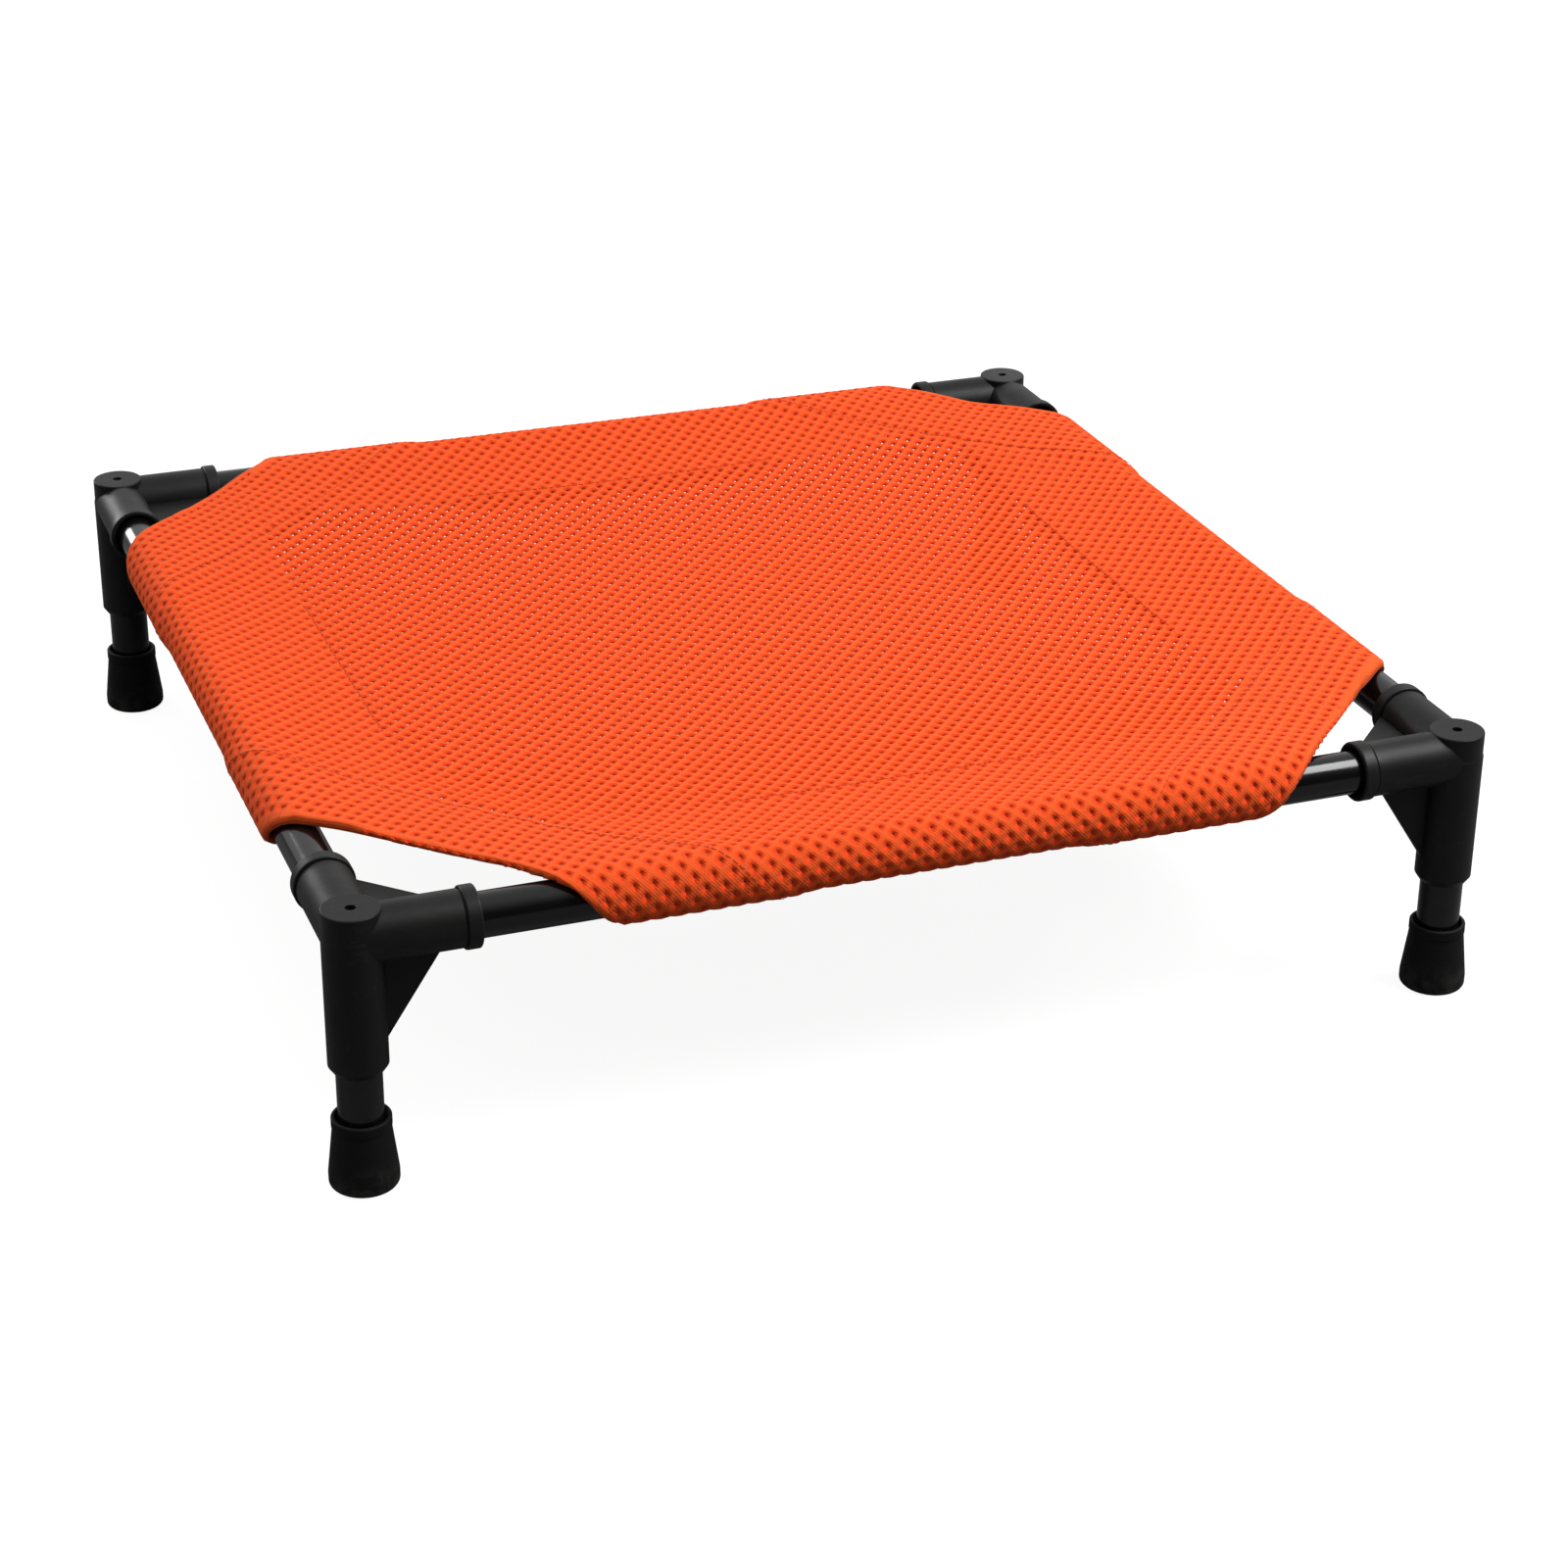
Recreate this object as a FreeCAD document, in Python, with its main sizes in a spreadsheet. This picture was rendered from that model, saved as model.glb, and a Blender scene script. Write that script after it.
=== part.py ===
"""Raised dog bed: a square frame of steel tube in moulded corner connectors, on four push-fit
legs with rubber feet, under a cover of thick mesh cloth whose sides are sewn round the rails."""

import FreeCAD, Part
import math
import os
import Sketcher

DIMENSIONS = [
    ("half_span", 286.0, "middle of the bed to a leg's axis, along X and along Y"),
    ("tube_radius", 11.0, "outside of the rails and leg tubes"),
    ("tube_wall", 1.0, "wall of the rails and leg tubes"),
    ("push_gap", 0.05, "radial clearance of a tube in its socket or foot"),
    ("end_gap", 0.5, "gap between a tube's end and its stop"),
    ("rail_height", 131.5, "floor to the rails' axes"),
    ("cap_height", 146.0, "floor to the top of the corner caps"),
    ("cap_radius", 14.0, "round cap on top of a connector"),
    ("cap_depth", 13.2, "height of the cap above the leg sleeve's shoulder"),
    ("sleeve_radius", 14.4, "outside of the leg sleeve"),
    ("sleeve_bottom", 62.0, "floor to the leg sleeve's lower end"),
    ("sleeve_taper", 3.2, "height of the taper at the leg sleeve's lower end"),
    ("sleeve_lip", 12.2, "outside radius at the end of that taper"),
    ("leg_stop", 113.5, "floor to the top of the leg's bore"),
    ("socket_radius", 14.0, "outside of a rail socket"),
    ("socket_reach", 58.5, "leg axis to a rail socket's mouth"),
    ("rail_stop", 15.0, "leg axis to the bottom of a rail's bore"),
    ("collar_radius", 15.2, "thick ring at a socket's mouth"),
    ("collar_width", 7.2, "length of that ring along the rail"),
    ("groove_width", 0.9, "line behind the collar"),
    ("groove_depth", 0.5, "depth of that line"),
    ("mouth_radius", 13.2, "socket bore at the mouth, where it flares"),
    ("mouth_flare", 3.4, "length of the flare"),
    ("web_thickness", 3.0, "the three triangular webs of a connector"),
    ("web_root", 12.6, "where a web starts inside the sleeve and socket walls"),
    ("gusset_reach", 42.0, "upright web, along the rail"),
    ("gusset_low", 74.0, "upright web, lowest point"),
    ("corner_web_reach", 52.4, "level web between the two sockets"),
    ("pilot_radius", 2.6, "hole in the middle of the cap"),
    ("pilot_depth", 12.0, "depth of that hole"),
    ("edge_round", 0.9, "rounding of the cap's and collars' edges"),
    ("foot_height", 36.8, "height of the rubber foot"),
    ("foot_base_radius", 16.9, "widest part of the foot"),
    ("foot_base_band", 7.0, "height at which the foot starts to narrow"),
    ("foot_top_radius", 14.0, "outside of the foot under its rim"),
    ("foot_rim_depth", 5.0, "height of the raised rim"),
    ("foot_rim_step", 0.4, "how far the rim stands out"),
    ("foot_mouth_radius", 12.7, "foot bore at the top, where it flares"),
    ("foot_mouth_flare", 5.0, "length of that flare"),
    ("foot_floor", 7.0, "thickness of rubber under the washer"),
    ("foot_edge_round", 3.0, "rounding of the foot's lower edge"),
    ("tread_inner", 6.0, "ring groove under the foot, inner radius"),
    ("tread_outer", 10.0, "ring groove under the foot, outer radius"),
    ("tread_depth", 1.5, "depth of the ring groove"),
    ("washer_thickness", 1.5, "steel washer in the foot"),
    ("washer_hole_radius", 3.2, "hole in that washer"),
    ("cloth_gap", 0.3, "gap between the cover and a rail"),
    ("cloth_thickness", 3.0, "thickness of the mesh cloth"),
    ("seam_inset", 65.0, "rail axis to the seam that closes a sleeve"),
    ("seam_drop", 15.0, "how far that seam hangs below the cloth on the rail"),
    ("middle_drop", 22.0, "how far the middle of the cover hangs below the cloth on the rail"),
    ("seam_overlap", 1.0, "how far a flap reaches into the cloth that it is sewn to"),
    ("cut_front_left", 475.0, "|x| + |y| along the cover's diagonal edge at this corner"),
    ("cut_front_right", 487.0, "|x| + |y| along the cover's diagonal edge at this corner"),
    ("cut_back_right", 491.0, "|x| + |y| along the cover's diagonal edge at this corner"),
    ("cut_back_left", 481.0, "|x| + |y| along the cover's diagonal edge at this corner"),
]

CORNERS = {
    "front_left": (-1, -1, 0),
    "front_right": (1, -1, 90),
    "back_right": (1, 1, 180),
    "back_left": (-1, 1, 270),
}

TOLERANCE = 0.01

doc = FreeCAD.newDocument("dog_bed")
sheet = doc.addObject("Spreadsheet::Sheet", "Dimensions")
for row, (alias, value, note) in enumerate(DIMENSIONS, start=1):
    sheet.set(f"A{row}", alias)
    sheet.set(f"B{row}", str(value))
    sheet.setAlias(f"B{row}", alias)
    sheet.set(f"C{row}", note)
doc.recompute()

nodes = []


def cell(alias):
    """Value of a spreadsheet cell, in millimetres."""
    return float(sheet.get(alias))


def bound(formula):
    """A formula of aliases, with each alias written as the spreadsheet's own property."""
    words = formula.replace("(", "( ").replace(")", " )").split()
    names = {alias for alias, _, _ in DIMENSIONS}
    return " ".join("Dimensions." + word if word in names else word for word in words)


def new_body(name):
    body = doc.addObject("PartDesign::Body", name)
    body.Label = name
    nodes.append(body)
    return body


def place(body, x, y, z="0", turn=0):
    """Put a body at a place given by formulas, turned about Z by whole degrees."""
    body.Placement = FreeCAD.Placement(FreeCAD.Vector(), FreeCAD.Rotation(FreeCAD.Vector(0, 0, 1), turn))
    for axis, formula in zip("xyz", (x, y, z)):
        body.setExpression(f".Placement.Base.{axis}", bound(formula))


def new_sketch(body, name, plane, lift="0", along="y"):
    """A sketch on one of the body's own origin planes, lifted along its local axis by a formula."""
    sketch = body.newObject("Sketcher::SketchObject", f"{body.Name}_{name}")
    support = [item for item in body.Origin.OriginFeatures if item.Role == plane][0]
    sketch.AttachmentSupport = [(support, "")]
    sketch.MapMode = "FlatFace"
    sketch.setExpression(f"AttachmentOffset.Base.{along}", bound(lift))
    return sketch


def outline(sketch, corners):
    """A closed outline of straight sides; each corner is a pair of formulas from the sketch's origin."""
    count = len(corners)
    rough = []
    for k in range(count):
        angle = 2 * math.pi * k / count
        rough.append(FreeCAD.Vector(30 + 20 * math.cos(angle), 30 + 20 * math.sin(angle), 0))
    for k in range(count):
        sketch.addGeometry(Part.LineSegment(rough[k], rough[(k + 1) % count]), False)
    for k in range(count):
        sketch.addConstraint(Sketcher.Constraint("Coincident", k, 2, (k + 1) % count, 1))
    for k, (across, up) in enumerate(corners):
        for kind, formula, start in (("DistanceX", across, rough[k].x), ("DistanceY", up, rough[k].y)):
            number = sketch.addConstraint(Sketcher.Constraint(kind, -1, 1, k, 1, start))
            sketch.setExpression(f"Constraints[{number}]", bound(formula))


def circle(sketch, radius):
    """A circle round the sketch's origin, its radius given by a formula."""
    item = sketch.addGeometry(Part.Circle(FreeCAD.Vector(), FreeCAD.Vector(0, 0, 1), 10), False)
    sketch.addConstraint(Sketcher.Constraint("Coincident", item, 3, -1, 1))
    number = sketch.addConstraint(Sketcher.Constraint("Radius", item, 10))
    sketch.setExpression(f"Constraints[{number}]", bound(radius))


def turned(body, kind, name, sketch, axis):
    """A Revolution or Groove of the sketch, all the way round one of its own axes."""
    feature = body.newObject(f"PartDesign::{kind}", f"{body.Name}_{name}")
    feature.Profile = sketch
    feature.ReferenceAxis = (sketch, [axis])
    feature.Angle = 360
    sketch.Visibility = False
    return feature


def padded(body, name, sketch, length, both_ways=False):
    feature = body.newObject("PartDesign::Pad", f"{body.Name}_{name}")
    feature.Profile = sketch
    if both_ways:
        feature.SideType = "Symmetric"
    feature.setExpression("Length", bound(length))
    return feature


def circle_edges(shape, radius, is_here):
    """Names of a shape's circular edges of one radius whose centre passes a test."""
    names = []
    for number, edge in enumerate(shape.Edges, start=1):
        curve = edge.Curve
        if not isinstance(curve, Part.Circle) or abs(curve.Radius - radius) > TOLERANCE:
            continue
        if is_here(curve.Center):
            names.append(f"Edge{number}")
    return names


def connector(name, side_x, side_y, turn):
    """One moulded corner, drawn with its leg on Z and its sockets towards +X and +Y."""
    body = new_body(name)

    sleeve = new_sketch(body, "sleeve_profile", "XZ_Plane")
    outline(
        sleeve,
        [
            ("0", "sleeve_bottom"),
            ("sleeve_lip", "sleeve_bottom"),
            ("sleeve_radius", "sleeve_bottom + sleeve_taper"),
            ("sleeve_radius", "cap_height - cap_depth"),
            ("cap_radius", "cap_height - cap_depth + 1"),
            ("cap_radius", "cap_height"),
            ("0", "cap_height"),
        ],
    )
    turned(body, "Revolution", "sleeve", sleeve, "V_Axis")

    collar_start = "socket_reach - collar_width"
    for label, plane in (("x", "XZ_Plane"), ("y", "YZ_Plane")):
        socket = new_sketch(body, f"socket_profile_{label}", plane, "rail_height")
        outline(
            socket,
            [
                ("0", "0"),
                ("socket_reach", "0"),
                ("socket_reach", "collar_radius"),
                (collar_start, "collar_radius"),
                (collar_start, "socket_radius - groove_depth"),
                (f"{collar_start} - groove_width", "socket_radius - groove_depth"),
                (f"{collar_start} - groove_width", "socket_radius"),
                ("0", "socket_radius"),
            ],
        )
        turned(body, "Revolution", f"socket_{label}", socket, "H_Axis")

        gusset = new_sketch(body, f"gusset_outline_{label}", plane)
        outline(
            gusset,
            [
                ("web_root", "gusset_low"),
                ("gusset_reach", "rail_height - web_root"),
                ("web_root", "rail_height - web_root"),
            ],
        )
        padded(body, f"gusset_{label}", gusset, "web_thickness", both_ways=True)

    web = new_sketch(body, "corner_web_outline", "XY_Plane", "rail_height", along="z")
    outline(
        web,
        [
            ("web_root", "web_root"),
            ("corner_web_reach", "web_root"),
            ("web_root", "corner_web_reach"),
        ],
    )
    padded(body, "corner_web", web, "web_thickness", both_ways=True)

    leg_bore = new_sketch(body, "leg_bore_profile", "XZ_Plane")
    outline(
        leg_bore,
        [
            ("0", "sleeve_bottom"),
            ("tube_radius + push_gap", "sleeve_bottom"),
            ("tube_radius + push_gap", "leg_stop"),
            ("0", "leg_stop"),
        ],
    )
    turned(body, "Groove", "leg_bore", leg_bore, "V_Axis")

    for label, plane in (("x", "XZ_Plane"), ("y", "YZ_Plane")):
        rail_bore = new_sketch(body, f"rail_bore_profile_{label}", plane, "rail_height")
        outline(
            rail_bore,
            [
                ("rail_stop", "0"),
                ("socket_reach", "0"),
                ("socket_reach", "mouth_radius"),
                ("socket_reach - mouth_flare", "tube_radius + push_gap"),
                ("rail_stop", "tube_radius + push_gap"),
            ],
        )
        turned(body, "Groove", f"rail_bore_{label}", rail_bore, "H_Axis")

    pilot = new_sketch(body, "pilot_profile", "XZ_Plane")
    outline(
        pilot,
        [
            ("0", "cap_height - pilot_depth"),
            ("pilot_radius", "cap_height - pilot_depth"),
            ("pilot_radius", "cap_height"),
            ("0", "cap_height"),
        ],
    )
    turned(body, "Groove", "pilot", pilot, "V_Axis")

    doc.recompute()
    base = body.Tip
    collar_ends = (cell("socket_reach"), cell("socket_reach") - cell("collar_width"))
    rounded = circle_edges(
        base.Shape,
        cell("collar_radius"),
        lambda centre: min(abs(max(centre.x, centre.y) - end) for end in collar_ends) < TOLERANCE,
    )
    rounded += circle_edges(
        base.Shape, cell("cap_radius"), lambda centre: abs(centre.z - cell("cap_height")) < TOLERANCE
    )
    fillet = body.newObject("PartDesign::Fillet", f"{name}_rounding")
    fillet.Base = (base, rounded)
    fillet.setExpression("Radius", bound("edge_round"))
    place(body, f"{side_x} * half_span", f"{side_y} * half_span", turn=turn)


def tube(name, length, plane):
    """A straight tube, centred on its own middle for a rail, standing on its end for a leg."""
    body = new_body(name)
    ring = new_sketch(body, "section", plane)
    circle(ring, "tube_radius")
    circle(ring, "tube_radius - tube_wall")
    padded(body, "wall", ring, length, both_ways=plane == "YZ_Plane")
    return body


def rail(name, side_x, side_y):
    body = tube(name, "2 * (half_span - rail_stop - end_gap)", "YZ_Plane")
    place(body, f"{side_x} * half_span", f"{side_y} * half_span", "rail_height", 90 if side_x else 0)


def foot(name, side_x, side_y):
    """Tapered rubber foot: a flared mouth, a raised rim and a ring groove in its sole."""
    body = new_body(name)
    profile = new_sketch(body, "profile", "XZ_Plane")
    outline(
        profile,
        [
            ("0", "0"),
            ("tread_inner", "0"),
            ("tread_inner + 0.5 * tread_depth", "tread_depth"),
            ("tread_outer - 0.5 * tread_depth", "tread_depth"),
            ("tread_outer", "0"),
            ("foot_base_radius", "0"),
            ("foot_base_radius", "foot_base_band"),
            ("foot_top_radius", "foot_height - foot_rim_depth - foot_rim_step"),
            ("foot_top_radius + foot_rim_step", "foot_height - foot_rim_depth"),
            ("foot_top_radius + foot_rim_step", "foot_height"),
            ("foot_mouth_radius", "foot_height"),
            ("tube_radius + push_gap", "foot_height - foot_mouth_flare"),
            ("tube_radius + push_gap", "foot_floor"),
            ("0", "foot_floor"),
        ],
    )
    turned(body, "Revolution", "rubber", profile, "V_Axis")
    doc.recompute()
    base = body.Tip
    sole_edge = circle_edges(base.Shape, cell("foot_base_radius"), lambda centre: centre.z < TOLERANCE)
    sole = body.newObject("PartDesign::Fillet", f"{name}_sole_round")
    sole.Base = (base, sole_edge)
    sole.setExpression("Radius", bound("foot_edge_round"))
    doc.recompute()
    rim_edge = circle_edges(
        sole.Shape,
        cell("foot_top_radius") + cell("foot_rim_step"),
        lambda centre: centre.z > cell("foot_height") - TOLERANCE,
    )
    rim = body.newObject("PartDesign::Fillet", f"{name}_rim_round")
    rim.Base = (sole, rim_edge)
    rim.setExpression("Radius", bound("edge_round"))
    place(body, f"{side_x} * half_span", f"{side_y} * half_span")


def leg(corner, side_x, side_y):
    """Leg tube, the rubber foot on its lower end and the washer between them."""
    tube_bottom = "(foot_floor + washer_thickness)"
    body = tube(f"leg_tube_{corner}", f"leg_stop - end_gap - {tube_bottom}", "XY_Plane")
    place(body, f"{side_x} * half_span", f"{side_y} * half_span", tube_bottom)

    foot(f"foot_{corner}", side_x, side_y)

    washer = new_body(f"foot_washer_{corner}")
    ring = new_sketch(washer, "section", "XY_Plane")
    circle(ring, "tube_radius - push_gap")
    circle(ring, "washer_hole_radius")
    padded(washer, "plate", ring, "washer_thickness")
    place(washer, f"{side_x} * half_span", f"{side_y} * half_span", "foot_floor")


def polygon_face(points):
    wire = Part.makePolygon([FreeCAD.Vector(*point) for point in [*points, points[0]]])
    return Part.Face(wire)


def cover_side(left_cut, right_cut):
    """One side of the cover, drawn for the back rail: the cloth from the middle of the bed over the
    rail, round it and back under to the seam. Each cut is |x| + |y| on the diagonal edge at that end."""
    half_span, height = cell("half_span"), cell("rail_height")
    thickness = cell("cloth_thickness")
    inner = cell("tube_radius") + cell("cloth_gap")
    outer = inner + thickness
    top = height + outer
    seam_y = half_span - cell("seam_inset")
    seam_top = top - cell("seam_drop")
    middle_top = top - cell("middle_drop")
    down = FreeCAD.Vector(0, 0, -thickness)

    slope = polygon_face(
        [
            (-half_span, half_span, top),
            (half_span, half_span, top),
            (seam_y, seam_y, seam_top),
            (-seam_y, seam_y, seam_top),
        ]
    ).extrude(down)
    middle = polygon_face(
        [(-seam_y, seam_y, seam_top), (seam_y, seam_y, seam_top), (0, 0, middle_top)]
    ).extrude(down)

    axis_start = FreeCAD.Vector(-half_span, half_span, height)
    along = FreeCAD.Vector(1, 0, 0)
    ring = Part.makeCylinder(outer, 2 * half_span, axis_start, along).cut(
        Part.makeCylinder(inner, 2 * half_span, axis_start, along)
    )
    left_top, right_top = half_span - left_cut, right_cut - half_span
    round_rail = math.pi * (inner + outer) / 2
    left_low, right_low = left_top + round_rail, right_top - round_rail
    keep = polygon_face(
        [
            (left_top, half_span, height + outer),
            (right_top, half_span, height + outer),
            (right_low, half_span, height - outer),
            (left_low, half_span, height - outer),
        ]
    ).extrude(FreeCAD.Vector(0, outer, 0))
    wrap = ring.common(keep)

    flap_low = height - outer
    flap_high = seam_top - 2 * thickness + cell("seam_overlap")
    inset = cell("seam_inset")
    flap = polygon_face(
        [
            (left_low, half_span, flap_low),
            (right_low, half_span, flap_low),
            (right_low - inset, seam_y, flap_high),
            (left_low + inset, seam_y, flap_high),
        ]
    ).extrude(FreeCAD.Vector(0, 0, thickness))
    return slope, middle, wrap, flap


def corner_prism(side_x, side_y, cut):
    """What is cut from the cover's top at one corner: everything beyond its diagonal edge."""
    far = 2 * cell("half_span")
    near = cut - far
    face = polygon_face(
        [(side_x * far, side_y * near, 0), (side_x * near, side_y * far, 0), (side_x * far, side_y * far, 0)]
    )
    return face.extrude(FreeCAD.Vector(0, 0, far))


def cover():
    """The mesh cover as one solid, 3 mm thick, dished in the middle and closed round each rail."""
    cuts = {corner: cell(f"cut_{corner}") for corner in CORNERS}
    prisms = [corner_prism(x, y, cuts[corner]) for corner, (x, y, _) in CORNERS.items()]
    pieces = []
    for turn, left, right in (
        (0, "back_left", "back_right"),
        (90, "front_left", "back_left"),
        (180, "front_right", "front_left"),
        (270, "back_right", "front_right"),
    ):
        slope, middle, wrap, flap = cover_side(cuts[left], cuts[right])
        for piece in (slope, middle, wrap, flap):
            piece.rotate(FreeCAD.Vector(), FreeCAD.Vector(0, 0, 1), turn)
        for prism in prisms:
            slope = slope.cut(prism)
            middle = middle.cut(prism)
        pieces += [slope, middle, wrap, flap]
    shape = pieces[0].fuse(pieces[1:]).removeSplitter()
    if len(shape.Solids) != 1:
        raise RuntimeError("the cover is not one solid")
    feature = doc.addObject("Part::Feature", "mesh_cover")
    feature.Label = "mesh_cover"
    feature.Shape = shape.Solids[0]
    feature.Placement = FreeCAD.Placement()
    nodes.append(feature)


def write_parts():
    """Recompute, refuse anything failed or invalid, and write one STEP file for each piece."""
    doc.recompute()
    failed = [item.Name for item in doc.Objects if "Invalid" in item.State or "Error" in item.State]
    if failed:
        raise RuntimeError(f"failed objects: {failed}")
    os.makedirs("parts", exist_ok=True)
    for node in nodes:
        if node.Shape.isNull() or not node.Shape.isValid() or not node.Shape.Solids:
            raise RuntimeError(f"{node.Label} has no valid solid")
        node.Shape.exportStep(f"parts/{node.Label}.step")
        print(f"{node.Label}: {node.Shape.Volume / 1000:.2f} cm3, {len(node.Shape.Solids)} solid")


for corner, (side_x, side_y, turn) in CORNERS.items():
    connector(f"corner_connector_{corner}", side_x, side_y, turn)
    leg(corner, side_x, side_y)
rail("rail_front", 0, -1)
rail("rail_right", 1, 0)
rail("rail_back", 0, 1)
rail("rail_left", -1, 0)
cover()
write_parts()
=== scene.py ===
"""Raised pet bed: a square cot of black tube rails pushed into moulded corner connectors, with a
honeycomb spacer-mesh cover sewn round the rails and push-fit legs standing on rubber feet."""

import math

import bmesh
import bpy
import numpy as np
from bpy.props import FloatProperty, FloatVectorProperty, PointerProperty
from bpy.types import Operator, Panel, PropertyGroup
from mathutils import Matrix, Vector


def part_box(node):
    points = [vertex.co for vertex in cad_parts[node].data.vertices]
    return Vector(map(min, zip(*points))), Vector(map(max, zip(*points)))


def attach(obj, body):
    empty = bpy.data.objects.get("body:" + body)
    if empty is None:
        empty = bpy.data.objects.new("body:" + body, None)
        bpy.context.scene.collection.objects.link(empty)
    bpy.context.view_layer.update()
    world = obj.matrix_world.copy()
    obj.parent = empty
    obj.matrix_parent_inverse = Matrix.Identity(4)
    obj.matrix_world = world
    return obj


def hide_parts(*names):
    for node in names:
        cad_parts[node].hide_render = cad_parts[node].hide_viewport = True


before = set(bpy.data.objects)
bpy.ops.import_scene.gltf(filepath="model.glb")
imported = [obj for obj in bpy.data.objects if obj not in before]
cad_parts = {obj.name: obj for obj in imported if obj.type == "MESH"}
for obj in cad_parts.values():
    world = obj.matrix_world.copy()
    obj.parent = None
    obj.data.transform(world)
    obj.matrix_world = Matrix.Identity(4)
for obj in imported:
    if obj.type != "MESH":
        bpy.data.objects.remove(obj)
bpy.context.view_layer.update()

bl_info = {
    "name": "Raised pet bed",
    "version": (1, 0, 0),
    "blender": (4, 5, 0),
    "location": "View3D > Sidebar > Pet bed",
    "description": "Sews a honeycomb mesh cover round a tube frame and finishes its fittings",
    "category": "Object",
}

CORNERS = {"front_left": (-1, -1), "front_right": (1, -1), "back_right": (1, 1), "back_left": (-1, 1)}
RAILS = ("rail_front", "rail_right", "rail_back", "rail_left")
# Cosine and sine of the turn that brings each side's outward direction to +Y.
SIDES = {"back": (1, 0), "right": (0, 1), "front": (-1, 0), "left": (0, -1)}
ROOT_TWO = math.sqrt(2.0)
# Corners closer than this are one.
MERGE = 1e-6
FLOOR_REACH = 14.0
WHITE = (1.0, 1.0, 1.0, 1.0)


def rail_line():
    """The rails' distance from the middle of the bed, their height and the tube's radius."""
    low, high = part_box("rail_back")
    return (low.y + high.y) / 2, (low.z + high.z) / 2, (high.z - low.z) / 2


RAIL_OUT, RAIL_UP, TUBE_RADIUS = rail_line()


# ---------------------------------------------------------------- sizes and colours


def length(name, description, default):
    return FloatProperty(
        name=name,
        description=description,
        default=default,
        precision=5,
        unit="LENGTH",
        subtype="DISTANCE",
    )


def colour(name, description, default):
    return FloatVectorProperty(
        name=name, description=description, default=default, size=3, min=0.0, max=1.0, subtype="COLOR"
    )


def factor(name, description, default):
    return FloatProperty(
        name=name, description=description, default=default, min=0.0, max=1.0, subtype="FACTOR"
    )


def strength(name, description, default):
    return FloatProperty(name=name, description=description, default=default, min=0.0)


def watts(name, description, default):
    return FloatProperty(name=name, description=description, default=default, min=0.0, unit="POWER")


def degrees(name, description, default):
    return FloatProperty(
        name=name, description=description, default=math.radians(default), subtype="ANGLE"
    )


FOLD_SUM = "Corner fold, as the sum of its two distances from the middle"


class PETBED_PG_cover(PropertyGroup):
    """The mesh cover's cloth, cut and sewing."""

    hole_pitch: length("Hole pitch", "Distance between honeycomb holes along a row", 0.0097)
    row_pitch: length("Row pitch", "Distance between rows of holes", 0.00515)
    thickness: length("Cloth thickness", "Face to face thickness of the spacer mesh", 0.003)
    cloth_gap: length("Slack round rail", "Gap between tube and cloth", 0.0003)
    sag: length("Sag", "How far the middle hangs below the edge", 0.022)
    blank_half: length("Blank half width", "Half the cut width of the flat cloth", 0.397)
    middle_half: length("Middle half width", "Half the width of the middle piece", 0.2145)
    seam_inset: length("Flap seam inset", "Distance from rail to the sleeve's seam", 0.065)
    hem_width: length("Corner hem width", "Width of the hem turned under across each corner", 0.057)
    fold_radius: length("Fold radius", "Middle radius of the corner fold", 0.0016)
    cut_front_left: length("Front left cut", FOLD_SUM, 0.4765)
    cut_front_right: length("Front right cut", FOLD_SUM, 0.4875)
    cut_back_right: length("Back right cut", FOLD_SUM, 0.494)
    cut_back_left: length("Back left cut", FOLD_SUM, 0.483)
    stitch_pitch: length("Stitch pitch", "Distance between two stitches", 0.0036)
    yarn: colour("Yarn", "Face yarn of the mesh", (0.645, 0.080, 0.0165))
    # Deeper red painted down the pits: partly the spacer yarn's own tone, partly painted shade of the
    # recess.
    pile_and_shade: colour("Pile yarn", "Deeper yarn seen inside the holes", (0.64, 0.048, 0.009))
    thread: colour("Sewing thread", "Thread of the seams", (0.64, 0.068, 0.014))


class PETBED_PG_fittings(PropertyGroup):
    """Finishes of the frame's own parts."""

    plastic: colour("Connector plastic", "Moulded corner connectors", (0.0048, 0.0049, 0.0049))
    enamel: colour("Tube enamel", "Rails and legs", (0.0025, 0.0025, 0.0027))
    rubber: colour("Foot rubber", "Push-on feet", (0.0048, 0.0050, 0.0051))
    zinc: colour("Washer plating", "Steel washers in the feet", (0.62, 0.62, 0.60))
    dust: colour("Dust", "Pale dust that settles on dark parts", (0.32, 0.30, 0.27))
    rub: factor("Handling marks", "How strongly touch marks change the gloss", 0.35)


class PETBED_PG_stage(PropertyGroup):
    """Floor, light and camera."""

    floor: colour("Floor", "Plain pale floor", (0.16, 0.16, 0.16))
    glow: strength("Floor glow", "How brightly the floor shows to the camera", 0.91)
    near_sky: strength("Near sky", "Room light from behind the camera", 0.05)
    far_sky: strength("Far sky", "Room light from above and behind the bed", 0.95)
    key: watts("Key light", "Power of the large light over the front right", 50.0)
    side: watts("Rim light", "Power of the low light behind the bed", 8.0)
    overhead: strength("Overhead sun", "Strength of the soft overall light", 0.85)
    azimuth: degrees("Azimuth", "Camera's turn round the bed", -20.603)
    elevation: degrees("Elevation", "Camera's height angle", 26.031)
    roll: degrees("Roll", "Camera's tilt", 0.5223)
    distance: length("Distance", "Camera's distance from the middle of the floor", 1.9405)
    shift_right: length("Right", "How far the camera stands to its own right", 0.02882)
    shift_up: length("Up", "How far the camera stands above its line", 0.02690)
    lens: FloatProperty(
        name="Lens", description="Focal length in millimetres", default=78.48, min=10.0, unit="CAMERA"
    )


# ---------------------------------------------------------------- shape of the stretched cloth


def ramp(low, high, value):
    """0 at low, 1 at high, smooth between."""
    t = np.clip((value - low) / (high - low), 0.0, 1.0)
    return t * t * (3.0 - 2.0 * t)


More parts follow.
